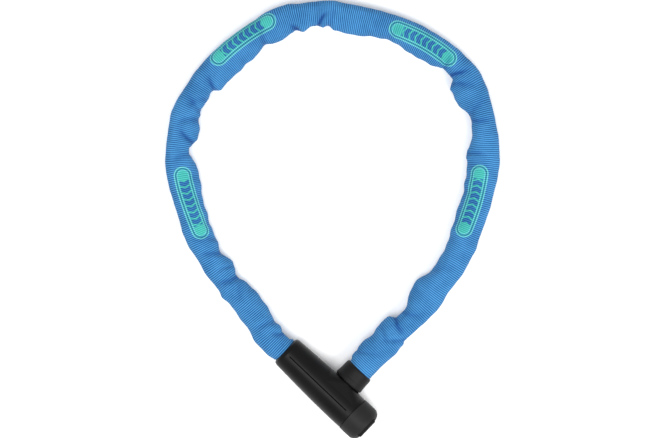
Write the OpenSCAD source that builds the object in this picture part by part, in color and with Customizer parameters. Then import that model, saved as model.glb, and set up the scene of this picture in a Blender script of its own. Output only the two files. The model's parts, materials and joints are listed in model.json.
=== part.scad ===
// Key-operated chain lock: a chain in a textile sleeve, anchored in the mouth of
// the lock body, with a bolt on its free end that enters the body from the side.

/* [Chain] */
// Side of the square wire of a link
wire = 5; // [4.5:0.1:5]
// Clear width inside a link
link_gap = 7.2; // [7:0.1:7.4]
// Clear length inside a link
link_window = 19.2; // [19:0.1:19.2]
// Number of links in the chain
link_count = 43; // [43:1:43]
// Rigid lengths that the chain is divided into
lengths = 14; // [14:1:14]

/* [Sleeve] */
// From the chain to the edge of the sleeve on the outside of the loop
sleeve_outer_reach = 9.8; // [9.7:0.1:10.2]
// From the chain to the edge of the sleeve on the inside of the loop
sleeve_inner_reach = 14.2; // [13:0.1:14.6]
// Half of the height of the sleeve as it lies
sleeve_half_height = 9.5; // [9.4:0.1:9.8]
// Radius of the sleeve where it enters the collar and the mouth
sleeve_end_radius = 10.3; // [10:0.1:10.4]
// Thickness of the sleeve wall
sleeve_wall = 0.8; // [0.6:0.1:0.9]
// Gap between two lengths of sleeve
sleeve_gap = 3; // [2.8:0.1:3.4]

/* [Lock body] */
// Outer radius of the jacket at the mouth
jacket_mouth_radius = 13; // [12.9:0.1:13.2]
// Outer radius of the jacket where it is widest
jacket_radius = 14.6; // [14.5:0.1:14.7]
// Outer radius of the end cap
cap_radius = 14.8; // [14.7:0.1:15]
// Distance from the mouth to the axis of the bolt
bolt_x = 52.5; // [52:0.1:53]
// Radius of the bolt
bolt_radius = 5; // [4.9:0.05:5]
// Radial play of the bolt in its bore
bolt_play = 0.05; // [0.03:0.01:0.08]
// Radius of the plug
plug_radius = 6; // [5.9:0.05:6]
// Radial play of the plug in its bore
plug_play = 0.05; // [0.03:0.01:0.08]
// Half of the width of the keyhole cover
cover_half_width = 8.15; // [7.95:0.05:8.25]

/* [Hidden] */
function two_digits(i) = str(i < 10 ? "0" : "", i);
$fn = 64;
eps = 0.01;

// ---- Where the lock body lies: its axis points from the mouth to the keyhole ----
lock_mouth = [-37, -102.2];
lock_turn = -43.5;
centring = [0.4, -0.4];        // puts the middle of the whole footprint on the origin
axis_z = cap_radius;           // the end cap rests on the floor

// ---- Lock body lengths, from the mouth along its axis ----
jacket_wall_radius = 11.45;    // inside of the jacket
mouth_radius = 10.6;           // opening that the sleeve enters
mouth_lip = 3.4;
mouth_edge = 2.8;              // end of the rounding round the mouth
widest_x = 58;
jacket_end = 73;               // before the curved joint is cut
housing_start = 3.5;
housing_radius = 11.4;
pocket_radius = 10.2;          // room for the last link
pocket_end = 21;
anchor_x = 11;
anchor_radius = 2;
seam_x = 69.7;                 // where jacket and cap meet, on the centre line
seam_bend = 62;                // radius of the curved joint between jacket and cap
seam_gap = 0.5;
lip_radius = 12.45;            // the cap's lip, which lies under the edge of the jacket
lip_reach = 1.3;
lip_play = 0.1;
spigot_x = 63;
spigot_radius = 9;
cylinder_step = 70;
cylinder_end = 83.5;
cap_end = 88.2;
cap_rounding = 6.4;            // of the cap's outer edge
notch_floor = 85.4;            // the notch in the end of the cap holds the keyhole cover
notch_low = -9;
notch_side_gap = 0.15;
cover_start = 85.55;
cover_end = 88.4;
cover_low = -8.8;
cover_high = 11.3;
cover_travel = 13.5;
tongue_low_x = 86.2;           // the cover's tongues run in grooves in the sides of the notch
tongue_thickness = 1;
tongue_reach = 0.85;
tongue_high = 4;
stop_pin_y = 5.5;
stop_pin_z = 7;
stop_pin_start = 78.2;
stop_pin_end = 86.9;
stop_pin_radius = 1.1;
stop_pin_fit = 0.02;
key_hole_radius = 6.9;
key_hole_start = 81.3;
groove_start = 5;
groove_end = 66;
groove_width = 0.6;
groove_floor = 12.1;           // height above the axis where the groove starts
groove_slope = 1.2;
groove_y = -0.6;               // the two jacket halves meet a little off the axis

// ---- Bolt heights, from the lock axis ----
boss_top = 15;
boss_radius = 11.2;
boss_run = 16;                 // how far it spreads along the body to each side
bolt_tip = -3;
groove_low = 0.4;
groove_high = 3.4;
groove_radius = 3;
flange_low = 15.9;
flange_radius = 9.6;
ear_top = 28.3;
chain_pin_y = 26;
chain_pin_radius = 2.5;
collar_low = 15.3;
collar_top = 28.7;
fork_gap = 6.4;
fork_depth = 8.9;              // below the chain pin

// ---- Locking plate, moved by a pin on the end of the plug ----
crank = 2.2;                   // distance of the driving pin from the plug's axis
crank_start = -45;             // its angle when unlocked
crank_radius = 1.1;
crank_y = crank * cos(crank_start);
crank_z = crank * sin(crank_start);
plate_travel = -2 * crank_z;
crank_pin_start = 59.3;
plate_low = 0.6;
plate_high = 3.2;
plate_start = 45.8;
plate_end = 62.7;
plate_bottom = -8.6;
plate_top = 6.6;
plate_play = 0.15;
plate_room_bottom = -9;        // room in the housing for the plate and its travel
plate_room_top = 10.6;

// ---- Plug, retaining pin and wafers ----
plug_head_start = 81.5;
plug_head_radius = 6.6;
plug_end = 83.2;
clip_start = 63.9;
clip_play = 0.05;
clip_thickness = 0.7;
clip_radius = 7.2;
clip_inner_radius = 4.8;
clip_room = 7.6;               // radius of the space that the clip turns in
keyway_start = 65.4;
keyway_width = 1.9;
keyway_low = -4.2;
keyway_high = 4.6;
retaining_x = 66.5;
retaining_z = -7.5;
retaining_radius = 1.1;
wafer_x = [for (i = [0:4]) 69.2 + 2.4 * i];
wafer_thickness = 0.9;
wafer_width = 4.4;
wafer_play = 0.1;
wafer_window = [2.4, 7];       // width and height of the window that the key enters
wafer_room = [11.4, 4.6, 14.8];
wafer_room_start = 68.4;

jacket_black = [0.07, 0.07, 0.075];
cap_black = [0.13, 0.13, 0.135];
cover_black = [0.05, 0.05, 0.055];
sleeve_blue = [0.2, 0.5, 0.8];
steel = [0.6, 0.62, 0.64];
brass = [0.75, 0.6, 0.3];

// ---- Route of the chain, seen from above, from the bolt to the mouth ----
function lock_point(x, y) = lock_mouth + x * [cos(lock_turn), sin(lock_turn)]
    + y * [-sin(lock_turn), cos(lock_turn)];
route = concat(
    [lock_point(bolt_x, chain_pin_y), lock_point(bolt_x, chain_pin_y + 9)],
    [[34, -103], [46, -91.5], [58.3, -80.8], [70, -69], [80.7, -55], [90.3, -40.5], [99, -26],
     [106, -11], [112, 4.5], [116.5, 20.5], [119.5, 37.5], [120.5, 54.5], [118.7, 72],
     [114.3, 89], [107, 105.5], [96.2, 120.5], [82, 133], [65.5, 142.5], [48.5, 149.5], [30, 155],
     [11.5, 159], [-7.5, 160.7], [-26.5, 159], [-45, 153.3], [-63, 143.5], [-79.5, 131],
     [-94, 116.5], [-106, 100.5], [-115, 83], [-120.2, 65], [-122, 47], [-119.7, 29],
     [-114.5, 11.5], [-108.5, -5], [-101.5, -20.5], [-93.5, -35], [-84, -48], [-74, -60],
     [-63.5, -72.7], [-53.2, -85.5]],
    [lock_point(-9, -0.7), lock_point(anchor_x, 0)]);

// A smooth curve through the route's points, sampled evenly between them
route_steps = 8;
function bend(a, b, c, d, t) = 0.5 * ((2 * b) + (c - a) * t
    + (2 * a - 5 * b + 4 * c - d) * t * t + (3 * b - a - 3 * c + d) * t * t * t);
last_point = len(route) - 1;
curve = concat([for (i = [0:last_point - 1]) for (j = [0:route_steps - 1])
    bend(route[max(i - 1, 0)], route[i], route[i + 1], route[min(i + 2, last_point)],
         j / route_steps) + centring], [route[last_point] + centring]);
distance = [for (i = 0, d = 0; i < len(curve);
    d = d + norm(curve[min(i + 1, len(curve) - 1)] - curve[i]), i = i + 1) d];
route_length = distance[len(distance) - 1];
curve_x = [for (i = [0:len(curve) - 1]) [distance[i], curve[i][0]]];
curve_y = [for (i = [0:len(curve) - 1]) [distance[i], curve[i][1]]];

// Height of the chain's centre: level with the lock's axis at both ends, low between
drop_start = 20;
drop_length = 62;
function ramp(t) = let (u = min(max(t, 0), 1)) u * u * (3 - 2 * u);
function end_share(s) = 1 - ramp((min(s, route_length - s) - drop_start) / drop_length);
function height(s) = sleeve_half_height + (axis_z - sleeve_half_height) * end_share(s);
function at(s) = [lookup(s, curve_x), lookup(s, curve_y), height(s)];

// ---- Links ----
link_width = link_gap + 2 * wire;
link_length = link_window + 2 * wire;
end_reach = 6.4;               // from a pin's axis to the centre of the link that it holds
link_aim = 5.5;                // a link lies along the route between this far back and forward
pitch = (route_length - 2 * end_reach) / (link_count - 1);
link_roll = 45;
window_corner = 1.5;
function link_s(i) = end_reach + i * pitch;
// First link of length k: each length has three links, and length 1, at the bolt, the rest
function first_link(k) = k == 1 ? 0 : link_count - 3 * (lengths + 1 - k);
// Hinge of length k: the bolt's chain pin, then the contact of two links
function hinge_s(k) = k == 1 ? 0 : link_s(first_link(k) - 0.5);

module rounded_bar(length, width, radius) {
    square([length - 2 * radius, width], center = true);
    square([length, width - 2 * radius], center = true);
    for (x = [-1, 1], y = [-1, 1])
        translate([x * (length / 2 - radius), y * (width / 2 - radius)]) circle(radius, $fn = 24);
}

module link() {
    linear_extrude(wire, center = true) difference() {
        union() {
            square([link_length - link_width, link_width], center = true);
            for (x = [-1, 1]) translate([x * (link_length - link_width) / 2, 0])
                circle(link_width / 2);
        }
        rounded_bar(link_window, link_gap, window_corner);
    }
}

module chain_length(k) {
    color(steel) for (i = [first_link(k) : first_link(k + 1) - 1]) {
        back = at(link_s(i) - link_aim);
        front = at(link_s(i) + link_aim);
        run = front - back;
        translate((back + front) / 2)
            rotate([0, -asin(run[2] / norm(run)), atan2(run[1], run[0])])
                rotate([i % 2 == 0 ? link_roll : -link_roll, 0, 0]) link();
    }
}

// ---- Sleeve: one cloth tube, in lengths that each cover a length of chain ----
sleeve_sides = 16;
sleeve_rings = 6;
roundness = 2.5;               // 2 is an ellipse, more is squarer
sleeve_start = collar_top - chain_pin_y + 1;
sleeve_finish = anchor_x + 0.6;
function signed_power(v, p) = sign(v) * pow(abs(v), p);
function sleeve_point(s, a, inset) =
    let (e = end_share(s) * end_share(s), r = 2 / (roundness + (2 - roundness) * e),
         run = at(s + 1) - at(s - 1), side = [-run[1], run[0], 0] / norm([run[0], run[1]]),
         reach = cos(a) > 0 ? sleeve_inner_reach : sleeve_outer_reach,
         w = reach + (sleeve_end_radius - reach) * e - inset,
         h = sleeve_half_height + (sleeve_end_radius - sleeve_half_height) * e - inset)
    at(s) + side * w * signed_power(cos(a), r) + [0, 0, h * signed_power(sin(a), r)];

module sleeve_length(k) {
    from = k == 1 ? sleeve_start : hinge_s(k) + sleeve_gap / 2;
    to = k == lengths ? route_length - sleeve_finish : hinge_s(k + 1) - sleeve_gap / 2;
    m = sleeve_sides;
    n = sleeve_rings;
    points = [for (inset = [0, sleeve_wall]) for (i = [0:n]) for (j = [0:m - 1])
        sleeve_point(from + (to - from) * i / n, 360 * j / m, inset)];
    inner = m * (n + 1);
    outside = [for (i = [0:n - 1]) for (j = [0:m - 1])
        [i * m + j, i * m + (j + 1) % m, (i + 1) * m + (j + 1) % m, (i + 1) * m + j]];
    inside = [for (f = outside) [f[3] + inner, f[2] + inner, f[1] + inner, f[0] + inner]];
    ends = [for (j = [0:m - 1]) each [
        [j, j + inner, (j + 1) % m + inner, (j + 1) % m],
        [n * m + (j + 1) % m, n * m + (j + 1) % m + inner, n * m + j + inner, n * m + j]]];
    color(sleeve_blue) polyhedron(points, concat(outside, inside, ends));
}

// ---- Frames of the lock body ----
module in_lock() translate([lock_mouth[0] + centring[0], lock_mouth[1] + centring[1], axis_z])
    rotate([0, 0, lock_turn]) children();
module along_body(x = 0) translate([x, 0, 0]) rotate([0, 90, 0]) children();
module along_bolt(y = 0) translate([bolt_x, y, 0]) rotate([-90, 0, 0]) children();
module seam_cutter(radius) translate([seam_x + seam_bend, 0, 0])
    cylinder(h = 60, r = radius, center = true, $fn = 128);

// ---- Lock body shell ----
// The jacket swells from the mouth to its widest, then narrows a little towards the cap
function jacket_outside(x) = jacket_mouth_radius
    + (jacket_radius - jacket_mouth_radius) * sin(90 * (x - mouth_edge) / (widest_x - mouth_edge));

module boss() hull() {
    along_bolt(boss_top - 0.6) cylinder(h = 0.6, r1 = boss_radius, r2 = boss_radius - 0.6);
    along_body(bolt_x - boss_run) cylinder(h = 2 * boss_run,
        r1 = jacket_outside(bolt_x - boss_run) - 0.1, r2 = jacket_outside(bolt_x + boss_run) - 0.1);
}

module jacket_shell() {
    difference() {
        union() {
            along_body() rotate_extrude($fn = 96) polygon(concat(
                [[mouth_radius, 0], [mouth_radius + 0.6, 0], [mouth_radius + 1.7, 0.8]],
                [for (i = [0:8]) let (x = mouth_edge + i * (jacket_end - mouth_edge) / 8)
                    [jacket_outside(x), x]],
                [[jacket_wall_radius, jacket_end], [jacket_wall_radius, mouth_lip],
                 [mouth_radius, mouth_lip]]));
            difference() {
                boss();
                along_body(-1) cylinder(h = 90, r = jacket_wall_radius);
            }
        }
        along_bolt(0) cylinder(h = 30, r = bolt_radius + 0.4);
        seam_cutter(seam_bend);
        intersection() {
            along_body(66) cylinder(h = 10, r = lip_radius + lip_play);
            seam_cutter(seam_bend + lip_reach + seam_gap);
        }
        translate([groove_start, groove_y - groove_width / 2, groove_floor])
            rotate([0, -groove_slope, 0]) cube([groove_end - groove_start, groove_width, 5]);
    }
}

module jacket_bolt_side() color(jacket_black) in_lock() intersection() {
    jacket_shell();
    translate([-1, groove_y, -30]) cube([100, 40, 60]);
}

module jacket_outer_side() color(jacket_black) in_lock() difference() {
    jacket_shell();
    translate([-1, groove_y, -30]) cube([100, 40, 60]);
}

module end_cap() color(cap_black) in_lock() difference() {
    intersection() {
        along_body() rotate_extrude($fn = 96) polygon(concat(
            [[jacket_wall_radius, 66], [cap_radius - 0.2, 66], [cap_radius, 76]],
            [for (a = [0:15:90]) [cap_radius - cap_rounding + cap_rounding * cos(a),
                cap_end - cap_rounding + cap_rounding * sin(a)]],
            [[key_hole_radius, cap_end], [key_hole_radius, cylinder_end + 0.1],
             [jacket_wall_radius, cylinder_end + 0.1]]));
        union() {
            seam_cutter(seam_bend - seam_gap);
            intersection() {
                along_body(66) cylinder(h = 10, r = lip_radius);
                seam_cutter(seam_bend + lip_reach);
            }
        }
    }
    notch(notch_floor, 10, cover_half_width + notch_side_gap);
    notch(tongue_low_x - 0.1, tongue_thickness + 0.2, cover_half_width + tongue_reach + notch_side_gap);
    stop_pin_place(cylinder_end) cylinder(h = 5, r = stop_pin_radius + stop_pin_fit);
}

// A slot across the cap's end, open upwards
module notch(start, depth, half_width) translate([start, -half_width, notch_low])
    cube([depth, 2 * half_width, 30]);
module stop_pin_place(x) translate([0, stop_pin_y, stop_pin_z]) along_body(x) children();

// ---- Keyhole cover, slid up along the notch to bare the keyhole ----
module keyhole_cover() color(cover_black) in_lock() difference() {
    union() {
        translate([0, cover_half_width, 0]) rotate([90, 0, 0])
            linear_extrude(2 * cover_half_width) polygon([
                [cover_start, cover_low], [cover_end - 0.3, cover_low], [cover_end, cover_low + 0.6],
                [cover_end, cover_high - 2.8], [cover_end - 0.4, cover_high - 1.5],
                [cover_end - 1.2, cover_high - 0.5], [cover_end - 2.1, cover_high],
                [cover_start, cover_high]]);
        translate([tongue_low_x, -cover_half_width - tongue_reach, cover_low])
            cube([tongue_thickness, 2 * (cover_half_width + tongue_reach), tongue_high - cover_low]);
    }
    hull() for (z = [0, -cover_travel]) translate([0, 0, z]) stop_pin_place(cover_start - 1)
        cylinder(h = stop_pin_end - cover_start + 1.15, r = stop_pin_radius + 0.05);
}

module cover_stop_pin() color(steel) in_lock()
    stop_pin_place(stop_pin_start) cylinder(h = stop_pin_end - stop_pin_start, r = stop_pin_radius);

// ---- Housings ----
module lock_housing() color(steel) in_lock() difference() {
    along_body(housing_start) cylinder(h = cylinder_step - housing_start, r = housing_radius);
    along_body(housing_start - 1) cylinder(h = pocket_end - housing_start + 1, r = pocket_radius);
    anchor_place() cylinder(h = 40, r = anchor_radius, center = true);
    along_bolt(bolt_tip - 1.5) cylinder(h = 30, r = bolt_radius + bolt_play);
    translate([plate_start - 0.5, plate_low - plate_play, plate_room_bottom])
        cube([spigot_x - plate_start + 0.5 + eps, plate_high - plate_low + 2 * plate_play,
              plate_room_top - plate_room_bottom]);
    along_body(spigot_x) cylinder(h = 20, r = spigot_radius);
    retaining_place() cylinder(h = 40, r = retaining_radius, center = true);
}

module cylinder_housing() color(steel) in_lock() difference() {
    union() {
        along_body(spigot_x + 0.05) cylinder(h = 10, r = spigot_radius - 0.03);
        along_body(cylinder_step) cylinder(h = cylinder_end - cylinder_step, r = housing_radius);
    }
    along_body(spigot_x - 1) cylinder(h = 30, r = plug_radius + plug_play);
    along_body(spigot_x - 1) cylinder(h = 2.9, r = clip_room);
    along_body(key_hole_start) cylinder(h = 5, r = plug_head_radius + 0.1);
    translate([wafer_room_start, -wafer_room[1] / 2, -wafer_room[2] / 2]) cube(wafer_room);
    retaining_place() cylinder(h = 40, r = retaining_radius, center = true);
    stop_pin_place(stop_pin_start) cylinder(h = 10, r = stop_pin_radius);
}

module retaining_place() translate([retaining_x, 0, retaining_z]) rotate([90, 0, 0]) children();
module cylinder_retaining_pin() color(steel) in_lock()
    retaining_place() cylinder(h = 14.8, r = retaining_radius, center = true);

// ---- Plug ----
module plug() color(brass) in_lock() {
    difference() {
        union() {
            along_body(spigot_x) cylinder(h = plug_end - spigot_x, r = plug_radius);
            along_body(plug_head_start) cylinder(h = plug_end - plug_head_start, r = plug_head_radius);
        }
        along_body(clip_start) difference() {
            cylinder(h = clip_thickness + 2 * clip_play, r = clip_radius + 0.8);
            translate([0, 0, -1]) cylinder(h = 3, r = clip_inner_radius);
        }
        translate([keyway_start, -keyway_width / 2, keyway_low])
            cube([20, keyway_width, keyway_high - keyway_low]);
        for (x = wafer_x) translate([x, 0, 0])
            cube([wafer_thickness + 2 * wafer_play, wafer_width + 4 * wafer_play, 16], center = true);
    }
    translate([0, crank_y, crank_z]) along_body(crank_pin_start)
        cylinder(h = spigot_x - crank_pin_start + 0.5, r = crank_radius);
}

module plug_clip() color(steel) in_lock() difference() {
    along_body(clip_start + clip_play) cylinder(h = clip_thickness, r = clip_radius);
    along_body(clip_start - 1) cylinder(h = 3, r = clip_inner_radius + clip_play);
    translate([clip_start - 1, -2, 0]) cube([3, 4, 10]);
}

module wafers() color(brass) in_lock() for (x = wafer_x) difference() {
    intersection() {
        translate([x, 0, 0]) cube([wafer_thickness, wafer_width, 16], center = true);
        along_body(x - 1) cylinder(h = 2, r = plug_radius - 0.15);
    }
    translate([x, 0, 0.1]) cube([2, wafer_window[0], wafer_window[1]], center = true);
}

module locking_plate() color(steel) in_lock() difference() {
    translate([plate_start, plate_low, plate_bottom])
        cube([plate_end - plate_start, plate_high - plate_low, plate_top - plate_bottom]);
    along_bolt(0) cylinder(h = 10, r = bolt_radius + 0.3);
    translate([0, 0, -plate_travel]) along_bolt(0) cylinder(h = 10, r = groove_radius + 0.3);
    translate([bolt_x - groove_radius - 0.3, 0, -plate_travel])
        cube([2 * groove_radius + 0.6, 10, plate_travel]);
    translate([crank_pin_start - 0.3, 0, crank_z - crank_radius - plate_play])
        cube([10, 10, 2 * (crank_radius + plate_play)]);
}

// ---- Chain ends ----
module anchor_place() translate([anchor_x, 0, 0])
    rotate([link_count % 2 == 0 ? -link_roll : link_roll, 0, 0]) children();
module chain_anchor_pin() color(steel) in_lock()
    anchor_place() cylinder(h = 22.4, r = anchor_radius, center = true);

module chain_pin_place() translate([bolt_x, chain_pin_y, 0]) rotate([0, 0, 90])
    rotate([link_roll, 0, 0]) children();

module bolt() color(steel) in_lock() difference() {
    union() {
        along_bolt(bolt_tip) cylinder(h = 0.8, r1 = bolt_radius - 0.8, r2 = bolt_radius);
        along_bolt(bolt_tip + 0.8)
            cylinder(h = groove_low - bolt_tip - 0.8, r = bolt_radius);
        along_bolt(groove_low - 0.5) cylinder(h = 4, r = groove_radius);
        along_bolt(groove_high) cylinder(h = flange_low + 0.5 - groove_high, r = bolt_radius);
        along_bolt(flange_low) cylinder(h = ear_top - flange_low, r = flange_radius);
    }
    chain_pin_place() translate([-fork_depth, -15, -fork_gap / 2]) cube([40, 30, fork_gap]);
    chain_pin_place() cylinder(h = 30, r = chain_pin_radius, center = true);
}

module bolt_collar() color(jacket_black) in_lock() along_bolt() rotate_extrude($fn = 96) polygon([
    [flange_radius + 0.05, collar_low], [11.7, collar_low], [12.3, 15.8], [12.5, 16.8],
    [12.4, 18.6], [12.15, 20], [11.95, 26.8], [11.75, 28], [11.3, collar_top],
    [10.85, collar_top], [10.85, 24], [flange_radius + 0.05, 24]]);

module bolt_chain_pin() color(steel) in_lock()
    chain_pin_place() cylinder(h = 18.4, r = chain_pin_radius, center = true);

jacket_bolt_side();
jacket_outer_side();
end_cap();
keyhole_cover();
cover_stop_pin();
lock_housing();
cylinder_housing();
cylinder_retaining_pin();
plug();
plug_clip();
wafers();
locking_plate();
chain_anchor_pin();
bolt();
bolt_collar();
bolt_chain_pin();
for (k = [1:lengths]) {
    chain_length(k);
    sleeve_length(k);
}
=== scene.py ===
"""Looks of the chain lock: the cloth sleeve, its woven labels, the plastic and the metals."""

import json
import math

import bmesh
import bpy
import numpy as np
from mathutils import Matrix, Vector


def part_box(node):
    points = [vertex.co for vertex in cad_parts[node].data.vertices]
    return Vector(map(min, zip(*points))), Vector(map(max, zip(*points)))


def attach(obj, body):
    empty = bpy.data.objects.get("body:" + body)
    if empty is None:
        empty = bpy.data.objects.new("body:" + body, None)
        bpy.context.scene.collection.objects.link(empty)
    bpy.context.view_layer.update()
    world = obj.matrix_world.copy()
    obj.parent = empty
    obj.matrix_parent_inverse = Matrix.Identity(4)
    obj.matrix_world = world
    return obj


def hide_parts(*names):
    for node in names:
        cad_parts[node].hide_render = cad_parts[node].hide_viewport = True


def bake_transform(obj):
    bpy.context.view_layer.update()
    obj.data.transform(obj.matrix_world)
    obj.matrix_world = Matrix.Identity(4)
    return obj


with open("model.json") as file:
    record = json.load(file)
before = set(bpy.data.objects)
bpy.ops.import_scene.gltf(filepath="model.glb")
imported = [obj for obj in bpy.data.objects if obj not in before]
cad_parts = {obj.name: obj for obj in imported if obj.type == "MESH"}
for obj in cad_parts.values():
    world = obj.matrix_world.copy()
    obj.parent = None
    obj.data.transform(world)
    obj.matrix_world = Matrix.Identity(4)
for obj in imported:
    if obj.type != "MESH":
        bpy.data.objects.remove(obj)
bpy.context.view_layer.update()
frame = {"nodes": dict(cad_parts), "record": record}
MM = 0.001
UV_MM = 100                       # millimetres in one unit of the cloth's UV maps
LENGTHS = 14                      # of chain, each with its own body


# ---- Node helpers ----
def new_material(name):
    m = bpy.data.materials.new(name)
    m.use_nodes = True
    t = m.node_tree
    t.nodes.clear()
    out = t.nodes.new("ShaderNodeOutputMaterial")
    bsdf = t.nodes.new("ShaderNodeBsdfPrincipled")
    t.links.new(bsdf.outputs[0], out.inputs[0])
    return m, t, bsdf


class Graph:
    """Short calls for building a node graph."""

    def __init__(self, tree):
        self.t = tree

    def put(self, socket, value):
        if isinstance(value, bpy.types.NodeSocket):
            self.t.links.new(value, socket)
        else:
            socket.default_value = value

    def math(self, op, a, b=0.0, c=0.0, clamp=False):
        n = self.t.nodes.new("ShaderNodeMath")
        n.operation = op
        n.use_clamp = clamp
        for socket, value in zip(n.inputs, (a, b, c)):
            self.put(socket, value)
        return n.outputs[0]

    def mix(self, factor, a, b):
        n = self.t.nodes.new("ShaderNodeMix")
        n.data_type = "RGBA"
        self.put(n.inputs["Factor"], factor)
        for name, value in (("A", a), ("B", b)):
            socket = [s for s in n.inputs if s.name == name and s.type == "RGBA"][0]
            self.put(socket, value if isinstance(value, bpy.types.NodeSocket) else (*value, 1))
        return [s for s in n.outputs if s.type == "RGBA"][0]

    def step(self, value, low, high):
        """0 below low, 1 above high, smooth between."""
        n = self.t.nodes.new("ShaderNodeMapRange")
        n.interpolation_type = "SMOOTHSTEP"
        self.put(n.inputs["Value"], value)
        n.inputs["From Min"].default_value = low
        n.inputs["From Max"].default_value = high
        return n.outputs["Result"]

    def uv(self, name):
        n = self.t.nodes.new("ShaderNodeUVMap")
        n.uv_map = name
        s = self.t.nodes.new("ShaderNodeSeparateXYZ")
        self.t.links.new(n.outputs[0], s.inputs[0])
        return n.outputs[0], s.outputs[0], s.outputs[1]

    def place(self, scale=(1, 1, 1)):
        """The object's own coordinates, in metres, scaled."""
        c = self.t.nodes.new("ShaderNodeTexCoord")
        m = self.t.nodes.new("ShaderNodeMapping")
        m.inputs["Scale"].default_value = scale
        self.t.links.new(c.outputs["Object"], m.inputs[0])
        return m.outputs[0]

    def noise(self, vector, scale, detail=2.0, rough=0.5):
        n = self.t.nodes.new("ShaderNodeTexNoise")
        self.put(n.inputs["Vector"], vector)
        n.inputs["Scale"].default_value = scale
        n.inputs["Detail"].default_value = detail
        n.inputs["Roughness"].default_value = rough
        return n.outputs["Fac"]

    def bump(self, height, distance, strength):
        n = self.t.nodes.new("ShaderNodeBump")
        n.inputs["Distance"].default_value = distance
        n.inputs["Strength"].default_value = strength
        self.put(n.inputs["Height"], height)
        return n.outputs[0]


# ---- Line of the chain, from the bolt's chain pin to the anchor pin ----
def middle(node):
    """The middle of a node's box."""
    low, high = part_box(node)
    return np.array((low + high) / 2)


def links_of(node):
    """The middle of every link in a chain node."""
    bm = bmesh.new()
    bm.from_mesh(frame["nodes"][node].data)
    bmesh.ops.remove_doubles(bm, verts=bm.verts, dist=1e-6)
    left, found = set(bm.verts), []
    while left:
        reached, todo = [], [left.pop()]
        while todo:
            v = todo.pop()
            reached.append(v.co[:])
            for e in v.link_edges:
                o = e.other_vert(v)
                if o in left:
                    left.remove(o)
                    todo.append(o)
        co = np.array(reached)
        found.append((co.min(0) + co.max(0)) / 2)
    bm.free()
    return found


line, mid_link = [middle("bolt_chain_pin")], []
for k in range(1, LENGTHS + 1):
    found = links_of(f"chain_{k:02d}")
    mid_link.append(len(line) + len(found) // 2)
    while found:
        found.sort(key=lambda p: np.linalg.norm(p - line[-1]))
        line.append(found.pop(0))
line.append(middle("chain_anchor_pin"))
line = np.array(line) / MM


def smooth_curve(points, steps):
    """Catmull-Rom through the points, straight on past both ends."""
    p = np.vstack([2 * points[0] - points[1], points, 2 * points[-1] - points[-2]])
    out = []
    for i in range(1, len(p) - 2):
        a, b, c, d = p[i - 1 : i + 3]
        for t in np.arange(steps) / steps:
            out.append(0.5 * (2 * b + (c - a) * t + (2 * a - 5 * b + 4 * c - d) * t * t
                              + (3 * b - a - 3 * c + d) * t ** 3))
    return np.array(out + [p[-2]])


STEPS = 24
curve = smooth_curve(line, STEPS)
curve_s = np.r_[0, np.cumsum(np.linalg.norm(np.diff(curve[:, :2], axis=0), axis=1))]
TOTAL = curve_s[-1]
first_dir = (curve[4] - curve[0]) / np.linalg.norm(curve[4] - curve[0])


def at(s):
    """Chain's centre, in mm, at distances s along it; straight on before the first pin."""
    s = np.asarray(s, float)
    p = np.stack([np.interp(s, curve_s, curve[:, i]) for i in range(3)], -1)
    return p + np.minimum(s, 0)[..., None] * first_dir


def s_of_link(i):
    """Distance along the chain to the middle of link i."""
    return curve_s[i * STEPS]


# ---- Shape of the sleeve ----
# How far the cloth reaches from the chain's centre, in mm, at places along it. They were picked
# from a measurement of the picture's outline, rounded, and adjusted by comparing renders.
INNER = [(-4, 10.6), (3, 10.6), (8, 13.2), (16, 13.8), (28, 12.8), (42, 14.8), (47, 14), (50.5, 10.5),
         (54, 7.5), (58, 8), (64, 10.4), (70, 13.8), (76, 16.4), (82, 17.6), (90, 15.6), (100, 12.4),
         (118, 11.8),
         (136, 14), (150, 15.3), (186, 15.3), (202, 16.8), (209, 15), (220, 11.5), (232, 10.2),
         (240, 11.3), (250, 16), (265, 16.3), (269, 13.2), (272, 9), (277, 7.5), (282, 8.6),
         (288, 11.5),
         (296, 14), (310, 15), (330, 12.5), (340, 11.3), (358, 14), (372, 14.6), (383, 13.6),
         (389, 10.3), (394, 11.3), (400, 9.8), (412, 13), (418, 11.9), (432, 14.7), (441, 14.4),
         (448, 12.5), (458, 15.2), (475, 16.3), (502, 15), (508, 10), (515, 11.8), (526, 10.2),
         (533, 11.8), (544, 15.2), (551, 14.7), (557, 12), (562, 8.8), (568, 11.4), (575, 15.3),
         (586, 16.4), (600, 15.2), (620, 13), (640, 12.3), (652, 10), (664, 14), (670, 12.3),
         (676, 10), (684, 11.5), (696, 14), (708, 13), (722, 11), (728, 11.8), (735, 8.4),
         (739, 7.4), (741.3, 8.4), (743, 11.2), (744, 11), (745.6, 9.5), (760, 9.5)]
OUTER = [(-4, 10.6), (3, 10.5), (10, 10.3), (20, 11.2), (31, 12), (41, 9.8), (47, 7.8), (55, 8.8),
         (66, 9.5), (82, 10.3), (94, 9.2), (112, 10.7), (130, 10.4), (142, 9.1), (170, 8.9),
         (190, 10), (214, 9.7), (227, 8.8), (245, 10), (258, 11), (268, 11.4), (282, 10),
         (305, 9.2), (334, 9.5), (360, 8.8), (376, 9.2), (390, 10.2), (409, 9), (420, 10.7),
         (430, 11.1), (445, 9.2), (460, 8.8), (495, 9.8), (511, 9.4), (532, 10.9), (545, 9.9),
         (563, 8.8), (580, 9.5), (600, 8.8), (634, 10.7), (652, 9.1), (664, 9.5), (671, 8.8),
         (677, 9.2), (682, 10.8), (690, 8.9), (706, 10.4), (712, 10), (725, 12), (737, 12),
         (742.5, 11), (744, 10.6), (745.6, 9.5), (760, 9.5)]
WALL = 0.8
ROUND = 10.2                      # half height inside the collar and the mouth
HALF_HEIGHT = 9.25                # half height where the sleeve lies
DROP_START, DROP_LENGTH = 20, 62  # from each end: where the sleeve comes down, and over how long
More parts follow.
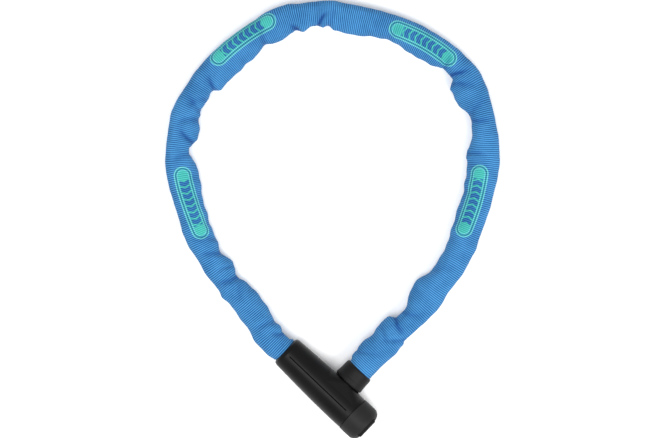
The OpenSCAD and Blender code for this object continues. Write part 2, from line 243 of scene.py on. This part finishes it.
CHAIN_SHIFT = 0.8                 # the chain hangs a little towards the inside of the loop
SAG = 1.3                         # of the slack side, towards the floor
FLOOR_GAP, FLOOR_SOFTNESS = 0.25, 0.35
LINK_REACH, LINK_CORNER = 7.85, 8.6   # links' reach sideways, and at 45 degrees
LINK_PLAY = 0.15

# Creases: from (s, x) to (s, x), where x is sideways from the chain, + inside the loop;
# then depth and width in mm.
CREASES = [
    (50, 10, 44, -10, 1.6, 2.2), (58, 9, 66, -8, 1.2, 2.0), (47, -9, 30, 4, 1.3, 1.8),
    (36, 11, 32, -4, 1.0, 1.8), (14, 12, 22, -8, 0.6, 1.6), (97, 13, 112, -2, 0.7, 2.2),
    (204, 16, 203, -2, 1.3, 1.8), (232, 10, 229, -8, 1.4, 2.0), (236, 10, 248, -6, 1.0, 2.2),
    (268, 14, 256, -8, 1.3, 2.4), (276, 9, 268, -9, 1.8, 2.2), (281, 9, 292, -6, 1.3, 2.2),
    (340, 11, 330, -4, 0.7, 2.4), (345, 11, 356, -4, 0.6, 2.4), (398, 10, 387, -2, 1.9, 1.9),
    (389, 11, 383, -8, 1.0, 2.0), (413, 13, 423, 5, 1.8, 1.8), (448, 13, 440, -6, 1.1, 2.2),
    (505, 11, 496, -1, 1.6, 2.0), (516, 11, 528, -6, 1.0, 2.2), (526, 10, 520, -8, 1.2, 2.0),
    (533, 11, 546, -8, 1.0, 2.2), (555, 11, 542, -4, 1.6, 2.2), (564, 9, 574, -6, 1.0, 2.2),
    (640, 12, 632, -8, 0.9, 2.2), (652, 10, 646, -8, 1.4, 2.0), (666, 9, 664, -4, 1.0, 1.4),
    (676, 10, 672, -9, 1.5, 2.0), (680, 10, 694, -6, 0.9, 2.0), (722, 11, 716, -9, 1.0, 2.0),
    (737, 8, 725, 3, 1.5, 1.8), (739, 9, 742, -9, 1.0, 1.6),
]
DEEPEST = max(crease[4] for crease in CREASES)


def keyed(keys, s):
    """Smooth value between keys, with no overshoot."""
    x, y = (np.array(v, float) for v in zip(*keys))
    h = np.diff(x)
    d = np.diff(y) / h
    slope = np.zeros(len(x))
    both = d[:-1] * d[1:] > 0
    w1, w2 = 2 * h[1:] + h[:-1], h[1:] + 2 * h[:-1]
    with np.errstate(divide="ignore", invalid="ignore"):
        mean = (w1 + w2) / (w1 / d[:-1] + w2 / d[1:])
    slope[1:-1] = np.where(both, mean, 0)
    i = np.clip(np.searchsorted(x, s) - 1, 0, len(h) - 1)
    t = np.clip((s - x[i]) / h[i], 0, 1)
    return (y[i] * (1 + 2 * t) * (1 - t) ** 2 + slope[i] * h[i] * t * (1 - t) ** 2
            + y[i + 1] * t * t * (3 - 2 * t) + slope[i + 1] * h[i] * t * t * (t - 1))


def ramp(t):
    """0 below 0, 1 above 1, smooth between."""
    t = np.clip(t, 0, 1)
    return t * t * (3 - 2 * t)


def crease_share(u, length, until):
    """How strong a crease is at u along it: it comes in before its start, and goes out past a share of it."""
    return ramp((u + 6) / 6) * (1 - ramp((u - until * length) / (0.6 * length)))


AROUND = 96
ROW = 0.8
START, FINISH = -1.4, TOTAL - 8.2   # in the collar, and 3 mm inside the mouth
HALF_RUN = 2.5                    # the chain's direction is taken this far each way
rows = np.linspace(START, FINISH, int((FINISH - START) / ROW) + 1)
angle = np.arange(AROUND) * 2 * math.pi / AROUND
S, A = np.meshgrid(rows, angle, indexing="ij")


def link_reach(phi):
    """How far the links reach from their centre line in a direction of the cross-section."""
    c, s = np.abs(np.cos(phi)), np.abs(np.sin(phi))
    return np.minimum(np.minimum(LINK_REACH / np.maximum(c, 1e-6), LINK_REACH / np.maximum(s, 1e-6)),
                      LINK_CORNER / ((c + s) / math.sqrt(2)))


def waves(s, x, terms):
    """A sum of plane waves: (wavelength along, wavelength across, phase, height)."""
    total = 0
    for along, across, phase, height in terms:
        total = total + height * np.sin(2 * math.pi * (s / along + x / across) + phase)
    return total


def sleeve_surface():
    """Points of the outside, row by row, and the painted shade of the creases: how dark each is painted."""
    lying = 1 - (1 - ramp((np.minimum(S, TOTAL - S) - DROP_START) / DROP_LENGTH)) ** 2
    inner, outer = keyed(INNER, S), keyed(OUTER, S)
    inner = inner - CHAIN_SHIFT * ramp((S - 1) / 4) * ramp((TOTAL - 10 - S) / 4)
    c, s = np.cos(A), np.sin(A)
    tall = ROUND + (HALF_HEIGHT - ROUND) * lying
    slack = np.clip(c, 0, 1)
    power = 2 / (2.0 + (0.5 - 0.25 * slack) * lying)
    x = np.where(c > 0, inner, outer) * np.sign(c) * np.abs(c) ** power
    z = tall * np.sign(s) * np.abs(s) ** power
    z = z - SAG * lying * ramp((x - 4) / 12) * (z > -6)
    # folds and soft unevenness, pressed in or out along the radius
    radius = np.hypot(x, z)
    phi = np.arctan2(z, x)
    upper = ramp((np.sin(phi) + 0.35) / 0.5)
    push = waves(S, x, [(31, 60, 0.4, 0.16), (17, -45, 2.1, 0.12), (11, 38, 4.0, 0.08)])
    push = push + ramp((x - 5) / 8) * waves(S, x, [(23, 80, 1.3, 0.3), (13, -60, 5.2, 0.25)])
    shade = 0
    for s0, x0, s1, x1, depth, width in CREASES:
        along = np.array([s1 - s0, x1 - x0], float)
        length = np.hypot(*along)
        along /= length
        u = (S - s0) * along[0] + (x - x0) * along[1]
        v = (S - s0) * -along[1] + (x - x0) * along[0]
        v = v + 0.9 * np.sin(u / 4.0 + s0)
        live = crease_share(u, length, 0.45) * upper
        short = crease_share(u, length, 0.2) * upper
        t = v / width
        # painted shade: a narrow dark line only in the deepest creases, a broad soft shade beside all of them
        shade = shade + ((depth / DEEPEST) ** 5 * short * np.exp(-(1.7 * (t - 0.15)) ** 2)
                         + 0.30 * depth / DEEPEST * live * np.exp(-(0.8 * (t - 0.8)) ** 2))
        push = push + depth * live * (-np.exp(-t * t) + 0.5 * np.exp(-((t - 1.9) / 1.1) ** 2)
                                      + 0.25 * np.exp(-((t + 1.9) / 1.1) ** 2))
    inside = ramp((S - 3) / 6) * ramp((TOTAL - 12 - S) / 8)
    radius = radius + push * inside
    # painted shade: darker along the creases and where the cloth is pressed in
    fold = np.clip(inside * (shade + 0.2 * np.clip(-push, 0, 2)), 0, 1)
    least = link_reach(phi) + WALL + LINK_PLAY
    radius = (radius ** 40 + least ** 40) ** (1 / 40)
    x, z = radius * np.cos(phi), radius * np.sin(phi)
    centre = at(rows)
    run = at(rows + HALF_RUN) - at(rows - HALF_RUN)
    run[:, 2] = 0
    run /= np.linalg.norm(run, axis=1)[:, None]
    side = np.stack([-run[:, 1], run[:, 0], 0 * run[:, 0]], -1)
    p = centre[:, None, :] + side[:, None, :] * x[..., None]
    p[..., 2] += z
    above = (p[..., 2] - FLOOR_GAP) / FLOOR_SOFTNESS
    p[..., 2] = FLOOR_GAP + np.logaddexp(0, above) * FLOOR_SOFTNESS
    return p, fold


def surface_normals(p):
    """Unit normals of the outside, in or out."""
    along = np.gradient(p, axis=0)
    round_ = np.roll(p, -1, 1) - np.roll(p, 1, 1)
    n = np.cross(round_, along)
    return n / np.linalg.norm(n, axis=2)[..., None]


surface, painted_crease_shade_grid = sleeve_surface()
normals = surface_normals(surface)
if ((normals * (surface - surface.mean(1, keepdims=True))).sum(2)).mean() < 0:
    normals = -normals
lining = surface - normals * WALL
# girth from the middle of the top, + towards the inside of the loop
edge = np.linalg.norm(np.diff(surface, axis=1, append=surface[:, :1]), axis=2)
girth = np.cumsum(np.c_[np.zeros(len(rows)), edge], axis=1)
top = AROUND // 4
girth = girth[:, [top]] - girth

# Middles of the woven labels: along the chain and sideways, in mm
LABELS = [(165, 5.5), (310.5, 1.4), (460, -3), (606.5, 3.8)]


def sleeve_piece(name, i0, i1):
    """Closed double-walled tube from row i0 to row i1."""
    n, m = i1 - i0 + 1, AROUND
    inner_rows = sorted(set(list(range(i0, i1 + 1, 3)) + [i1]))
    verts = np.vstack([surface[i0 : i1 + 1].reshape(-1, 3), lining[inner_rows].reshape(-1, 3)])
    first = n * m
    k = len(inner_rows)
    faces, uvs, painted_shade_uvs = [], [], []

    def uv_out(i, j):
        return (rows[i0 + i], girth[i0 + i, j])

    # painted crease shade at a corner, carried in a uv layer
    def depth(i, j):
        return (painted_crease_shade_grid[i0 + i, j % m], 0.0)

    for i in range(n - 1):
        for j in range(m):
            faces.append((i * m + j, i * m + (j + 1) % m, (i + 1) * m + (j + 1) % m, (i + 1) * m + j))
            uvs += [uv_out(i, j), uv_out(i, j + 1), uv_out(i + 1, j + 1), uv_out(i + 1, j)]
            painted_shade_uvs += [depth(i, j), depth(i, j + 1), depth(i + 1, j + 1), depth(i + 1, j)]
    for i in range(k - 1):
        for j in range(m):
            a, b = first + i * m, first + (i + 1) * m
            faces.append((b + j, b + (j + 1) % m, a + (j + 1) % m, a + j))
            r0, r1 = inner_rows[i], inner_rows[i + 1]
            uvs += [(rows[r1], girth[r1, j]), (rows[r1], girth[r1, j + 1]),
                    (rows[r0], girth[r0, j + 1]), (rows[r0], girth[r0, j])]
    for start, a, b, r in ((0, 0, first, i0), ((n - 1) * m, (n - 1) * m, first + (k - 1) * m, i1)):
        for j in range(m):
            j2 = (j + 1) % m
            quad = (a + j, b + j, b + j2, a + j2)
            spots = [(rows[r], girth[r, j])] * 2 + [(rows[r], girth[r, j + 1])] * 2
            if start:
                quad, spots = quad[::-1], spots[::-1]
            faces.append(quad)
            uvs += spots
    mesh = bpy.data.meshes.new(name)
    mesh.from_pydata((verts * MM).tolist(), [], faces)
    for layer, shift in (("rib", None), ("label", LABELS)):
        values = np.array(uvs, float)
        if shift:
            mid = rows[(i0 + i1) // 2]
            near = min(shift, key=lambda q: abs(q[0] - mid))
            values = values - np.array([near[0], near[1]])
        mesh.uv_layers.new(name=layer).data.foreach_set("uv", (values / UV_MM).ravel())
    # painted crease shade on the outside, none on the lining and the ends, kept in its own uv layer
    painted_shade_uvs += [(0.0, 0.0)] * (len(uvs) - len(painted_shade_uvs))
    mesh.uv_layers.new(name="fold").data.foreach_set("uv", np.array(painted_shade_uvs, float).ravel())
    mesh.polygons.foreach_set("use_smooth", [True] * len(mesh.polygons))
    vertex_normals = np.vstack([normals[i0 : i1 + 1].reshape(-1, 3), -normals[inner_rows].reshape(-1, 3)])
    mesh.normals_split_custom_set_from_vertices(vertex_normals.tolist())
    mesh.validate()
    obj = bpy.data.objects.new(name, mesh)
    bpy.context.scene.collection.objects.link(obj)
    return obj


# ---- Materials ----
RIB, THREAD = 1.55, 0.62          # spacing of the cloth's ribs, and of the threads along them, in mm
LABEL_HALF, LABEL_RADIUS = 30.0, 7.3   # half length of a label, and radius of its ends, in mm
# The blocks in a label: spacing, slant, half height of a block and half length of the row
BLOCK_PITCH, BLOCK_SLANT, BLOCK_REACH, BLOCKS_HALF = 5.2, 0.45, 3.9, 19.0


def cloth_material():
    """Ribbed blue cloth, with stadium-shaped labels that carry plain blocks."""
    m, t, bsdf = new_material("blue_cloth")
    g = Graph(t)
    _, s, girth_ = g.uv("rib")
    s, girth_ = g.math("MULTIPLY", s, UV_MM), g.math("MULTIPLY", girth_, UV_MM)
    _, lu, lv = g.uv("label")
    lu, lv = g.math("MULTIPLY", lu, UV_MM), g.math("MULTIPLY", lv, UV_MM)
    # painted shade of the creases, read from its uv layer
    _, fold, _ = g.uv("fold")
    place = g.place()
    wander = g.math("MULTIPLY", g.math("SUBTRACT", g.noise(place, 90, 2), 0.5), 1.1)
    rib = g.math("ADD", g.math("MULTIPLY", g.math("SINE", g.math("MULTIPLY",
                 g.math("ADD", s, wander), 2 * math.pi / RIB)), 0.5), 0.5)
    thread = g.math("ADD", g.math("MULTIPLY", g.math("SINE", g.math("MULTIPLY", girth_,
                    2 * math.pi / THREAD)), 0.5), 0.5)
    fleck = g.noise(place, 2200, 1)
    patch = g.noise(g.place((1, 1, 0.4)), 70, 3)
    # distance outside the label's outline, negative inside it
    run = g.math("MAXIMUM", g.math("SUBTRACT", g.math("ABSOLUTE", lu), LABEL_HALF - LABEL_RADIUS), 0.0)
    dist = g.math("SUBTRACT", g.math("SQRT", g.math("ADD", g.math("MULTIPLY", run, run),
                  g.math("MULTIPLY", lv, lv))), LABEL_RADIUS)
    mark = g.math("SUBTRACT", 1.0, g.step(dist, -0.15, 0.15))
    ring = g.math("MULTIPLY", g.step(dist, -2.45, -2.15), g.math("SUBTRACT", 1.0, g.step(dist, -1.15, -0.85)))
    # row of slanted blocks inside it
    arm = g.math("ABSOLUTE", lv)
    slanted = g.math("ADD", g.math("ADD", lu, g.math("MULTIPLY", arm, BLOCK_SLANT)), 200.0)
    phase = g.math("FRACT", g.math("DIVIDE", slanted, BLOCK_PITCH))
    bars = g.math("MULTIPLY", g.step(phase, 0.08, 0.16), g.math("SUBTRACT", 1.0, g.step(phase, 0.80, 0.88)))
    within = g.math("MULTIPLY", g.math("SUBTRACT", 1.0, g.step(arm, BLOCK_REACH - 0.3, BLOCK_REACH)),
                    g.math("SUBTRACT", 1.0, g.step(g.math("ABSOLUTE", lu), BLOCKS_HALF - 0.4, BLOCKS_HALF)))
    figure = g.math("MULTIPLY", bars, within)
    blue_part = g.math("MAXIMUM", ring, figure)
    teal = g.math("MULTIPLY", mark, g.math("SUBTRACT", 1.0, blue_part))
    # the tone follows the ribs and threads as the bump does: partly the weave's own pattern, partly painted
    # shade in the valleys and painted highlight on the raised tops
    tone = g.math("ADD", g.math("MULTIPLY", rib, 0.85), g.math("MULTIPLY", thread, 0.12))
    tone = g.math("ADD", tone, g.math("MULTIPLY", g.math("SUBTRACT", fleck, 0.5), 0.3))
    tone = g.math("ADD", tone, g.math("MULTIPLY", g.math("SUBTRACT", patch, 0.5), 0.55), clamp=True)
    blue = g.mix(tone, (0.001, 0.048, 0.164), (0.074, 0.294, 0.606))
    mark_blue = g.mix(tone, (0.003, 0.054, 0.187), (0.041, 0.193, 0.430))
    green = g.mix(tone, (0.021, 0.248, 0.236), (0.082, 0.515, 0.455))
    pale = g.mix(tone, (0.060, 0.335, 0.370), (0.178, 0.600, 0.665))
    colour = g.mix(mark, blue, mark_blue)
    dark_teal = g.mix(tone, (0.004, 0.100, 0.150), (0.030, 0.250, 0.350))
    colour = g.mix(ring, colour, dark_teal)
    colour = g.mix(teal, colour, g.mix(g.step(dist, -3.2, -2.9), green, pale))
    # painted shade: the creases darkened towards navy
    colour = g.mix(g.math("MULTIPLY", fold, 0.85, clamp=True), colour, (0.002, 0.036, 0.190))
    g.put(bsdf.inputs["Base Color"], colour)
    bsdf.inputs["Roughness"].default_value = 0.78
    bsdf.inputs["Specular IOR Level"].default_value = 0.15
    bsdf.inputs["Sheen Weight"].default_value = 0.05
    bsdf.inputs["Sheen Roughness"].default_value = 0.4
    bsdf.inputs["Sheen Tint"].default_value = (0.55, 0.8, 1.0, 1)
    height = g.math("ADD", g.math("MULTIPLY", rib, 0.8), g.math("MULTIPLY", thread, 0.15))
    height = g.math("ADD", height, g.math("MULTIPLY", fleck, 0.15))
    height = g.math("ADD", height, g.math("MULTIPLY", teal, 0.8))
    g.put(bsdf.inputs["Normal"], g.bump(height, 0.00040, 0.9))
    return m


# The line along the jacket's top where its shade is painted, in metres: its place sideways and half width,
# where it starts and stops on the way from the plug's joint to the mouth, and its soft edges
GROOVE_SIDE, GROOVE_HALF = -0.0006, 0.0004
GROOVE_START, GROOVE_STOP = 0.006, 0.066
SOFT, SOFT_SIDE = 0.001, 0.0001
PLASTIC_GLOSS = 0.11              # specular level of every plastic, outside the groove
plug_axis = next(j for j in frame["record"]["behaviour"]["joints"] if j["name"] == "plug_turn")


def groove_shade_mask(g):
    """1 inside the groove between the jacket's halves, where hardly any light comes, else 0: the mask of its
    painted shade.
    """
    (ax, ay, _), (px, py, pz) = plug_axis["axis"], plug_axis["pos_m"]
    split = g.t.nodes.new("ShaderNodeSeparateXYZ")
    g.put(split.inputs[0], g.place())
    x, y, z = split.outputs
    side = g.math("ADD", g.math("MULTIPLY", x, -ay), g.math("MULTIPLY", y, ax))
    off = g.math("ABSOLUTE", g.math("SUBTRACT", side, px * -ay + py * ax + GROOVE_SIDE))
    back = g.math("SUBTRACT", px * ax + py * ay, g.math("ADD", g.math("MULTIPLY", x, ax),
                  g.math("MULTIPLY", y, ay)))
    within = g.math("MULTIPLY", g.step(back, GROOVE_START, GROOVE_START + SOFT),
                    g.math("SUBTRACT", 1.0, g.step(back, GROOVE_STOP, GROOVE_STOP + SOFT)))
    narrow = g.math("SUBTRACT", 1.0, g.step(off, GROOVE_HALF, GROOVE_HALF + SOFT_SIDE))
    return g.math("MULTIPLY", g.math("MULTIPLY", narrow, within), g.step(z, pz, pz + SOFT))


def plastic_material(name, low, high, roughness, grain):
    """Black plastic between two greys, with a fine grain of the given depth in metres."""
    m, t, bsdf = new_material(name)
    g = Graph(t)
    place = g.place()
    fine = g.noise(place, 3500, 2, 0.6)
    broad = g.noise(place, 60, 3)
    g.put(bsdf.inputs["Base Color"], g.mix(g.math("ADD", g.math("MULTIPLY", fine, 0.5),
          g.math("MULTIPLY", broad, 0.5)), (low,) * 3, (high,) * 3))
    g.put(bsdf.inputs["Roughness"], g.math("ADD", roughness, g.math("MULTIPLY", broad, 0.12)))
    if name == "black_jacket":
        # painted shade in the groove: its specular level is taken away there. The render shows this, but the
        # glTF export drops a specular level that nodes set
        painted_groove_shade = g.math("MULTIPLY", groove_shade_mask(g), PLASTIC_GLOSS)
        g.put(bsdf.inputs["Specular IOR Level"], g.math("SUBTRACT", PLASTIC_GLOSS, painted_groove_shade))
    else:
        bsdf.inputs["Specular IOR Level"].default_value = PLASTIC_GLOSS
    g.put(bsdf.inputs["Normal"], g.bump(fine, grain, 0.6))
    return m


def metal_material(name, low, high, roughness, scale):
    """Metal between two colours, with streaks stretched by the scale."""
    m, t, bsdf = new_material(name)
    g = Graph(t)
    streak = g.noise(g.place(scale), 900, 2)
    cloud = g.noise(g.place(), 120, 3)
    g.put(bsdf.inputs["Base Color"], g.mix(cloud, low, high))
    bsdf.inputs["Metallic"].default_value = 1.0
    g.put(bsdf.inputs["Roughness"], g.math("ADD", roughness, g.math("MULTIPLY", streak, 0.2)))
    g.put(bsdf.inputs["Normal"], g.bump(streak, 0.00003, 0.5))
    return m


looks = {
    "black_jacket": plastic_material("black_jacket", 0.002, 0.006, 0.32, 0.00003),
    "black_cap": plastic_material("black_cap", 0.009, 0.018, 0.42, 0.00003),
    "black_cover": plastic_material("black_cover", 0.002, 0.005, 0.55, 0.00003),
    "black_collar": plastic_material("black_collar", 0.004, 0.011, 0.44, 0.00006),
    "blue_cloth": cloth_material(),
    "hard_steel": metal_material("hard_steel", (0.50, 0.51, 0.53), (0.62, 0.63, 0.65), 0.22, (1, 0.2, 1)),
    "chain_steel": metal_material("chain_steel", (0.44, 0.45, 0.47), (0.58, 0.59, 0.61), 0.30, (0.3, 1, 1)),
    "zinc": metal_material("zinc", (0.05, 0.05, 0.055), (0.09, 0.09, 0.095), 0.45, (1, 1, 1)),
    "brass": metal_material("brass", (0.66, 0.48, 0.22), (0.80, 0.62, 0.30), 0.25, (1, 1, 0.3)),
}
CAP_EDGE, OTHER_EDGE = 0.0006, 0.00025   # widths of the rounded edges, in metres
for part in frame["record"]["subparts"]:
    obj = frame["nodes"][part["node"]]
    obj.data.materials.clear()
    obj.data.materials.append(looks[part["material_slot"]])
    if part["material_slot"].startswith("black"):
        edge_round = obj.modifiers.new("edges", "BEVEL")
        is_cap = part["node"] == "end_cap"
        edge_round.width = CAP_EDGE if is_cap else OTHER_EDGE
        edge_round.segments = 2
        edge_round.use_clamp_overlap = not is_cap
        edge_round.limit_method, edge_round.angle_limit = "ANGLE", math.radians(40)

# ---- Sleeve pieces: each crosses one hinge of the chain, and the last rides on length 14 ----
cuts = [0] + [int(np.abs(rows - s_of_link(i)).argmin()) for i in mid_link] + [len(rows) - 1]
for k in range(LENGTHS + 1):
    i0, i1 = cuts[k], cuts[k + 1]
    piece = sleeve_piece(f"sleeve_cloth_{k + 1:02d}", i0, i1)
    piece.data.materials.append(looks["blue_cloth"])
    if k < LENGTHS:
        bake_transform(piece)
    else:
        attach(piece, f"length_{LENGTHS:02d}")
    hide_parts(f"sleeve_{min(k + 1, LENGTHS):02d}")

# ---- Floor, light and camera ----
floor_mesh = bpy.data.meshes.new("floor")
floor_mesh.from_pydata([(-3, -3, 0), (3, -3, 0), (3, 3, 0), (-3, 3, 0)], [], [(0, 1, 2, 3)])
floor = bpy.data.objects.new("floor", floor_mesh)
bpy.context.scene.collection.objects.link(floor)
floor_white, _, bsdf = new_material("floor_white")
bsdf.inputs["Base Color"].default_value = (0.95, 0.95, 0.95, 1)
bsdf.inputs["Roughness"].default_value = 0.9
bsdf.inputs["Specular IOR Level"].default_value = 0.1
floor.data.materials.append(floor_white)


def area_light(name, place, target, size, power):
    data = bpy.data.lights.new(name, "AREA")
    data.shape = "RECTANGLE"
    data.size, data.size_y = size
    data.energy = power
    obj = bpy.data.objects.new(name, data)
    obj.location = place
    obj.rotation_euler = (Vector(target) - Vector(place)).to_track_quat("-Z", "Y").to_euler()
    bpy.context.scene.collection.objects.link(obj)


area_light("key", (-0.30, -0.30, 1.5), (0, 0, 0), (0.7, 0.7), 14)
area_light("fill", (0.9, -0.8, 1.4), (0, 0, 0), (1.0, 1.0), 20)
world = bpy.data.worlds.new("world")
world.use_nodes = True
world.node_tree.nodes["Background"].inputs[0].default_value = (1, 1, 1, 1)
world.node_tree.nodes["Background"].inputs[1].default_value = 0.75
bpy.context.scene.world = world
bpy.context.scene.view_settings.view_transform = "Standard"

HEIGHT, MIDDLE = 1.5, (0.0004, -0.0004)
FRAME_WIDTH, WIDTH_LEVEL = 0.5195, 0.0125   # width of the view, and how far above the floor it is that wide
SENSOR = 36
camera_data = bpy.data.cameras.new("camera")
camera_data.sensor_width = SENSOR
camera_data.lens = SENSOR * (HEIGHT - WIDTH_LEVEL) / FRAME_WIDTH
camera = bpy.data.objects.new("camera", camera_data)
camera.location = (*MIDDLE, HEIGHT)
bpy.context.scene.collection.objects.link(camera)
bpy.context.scene.camera = camera
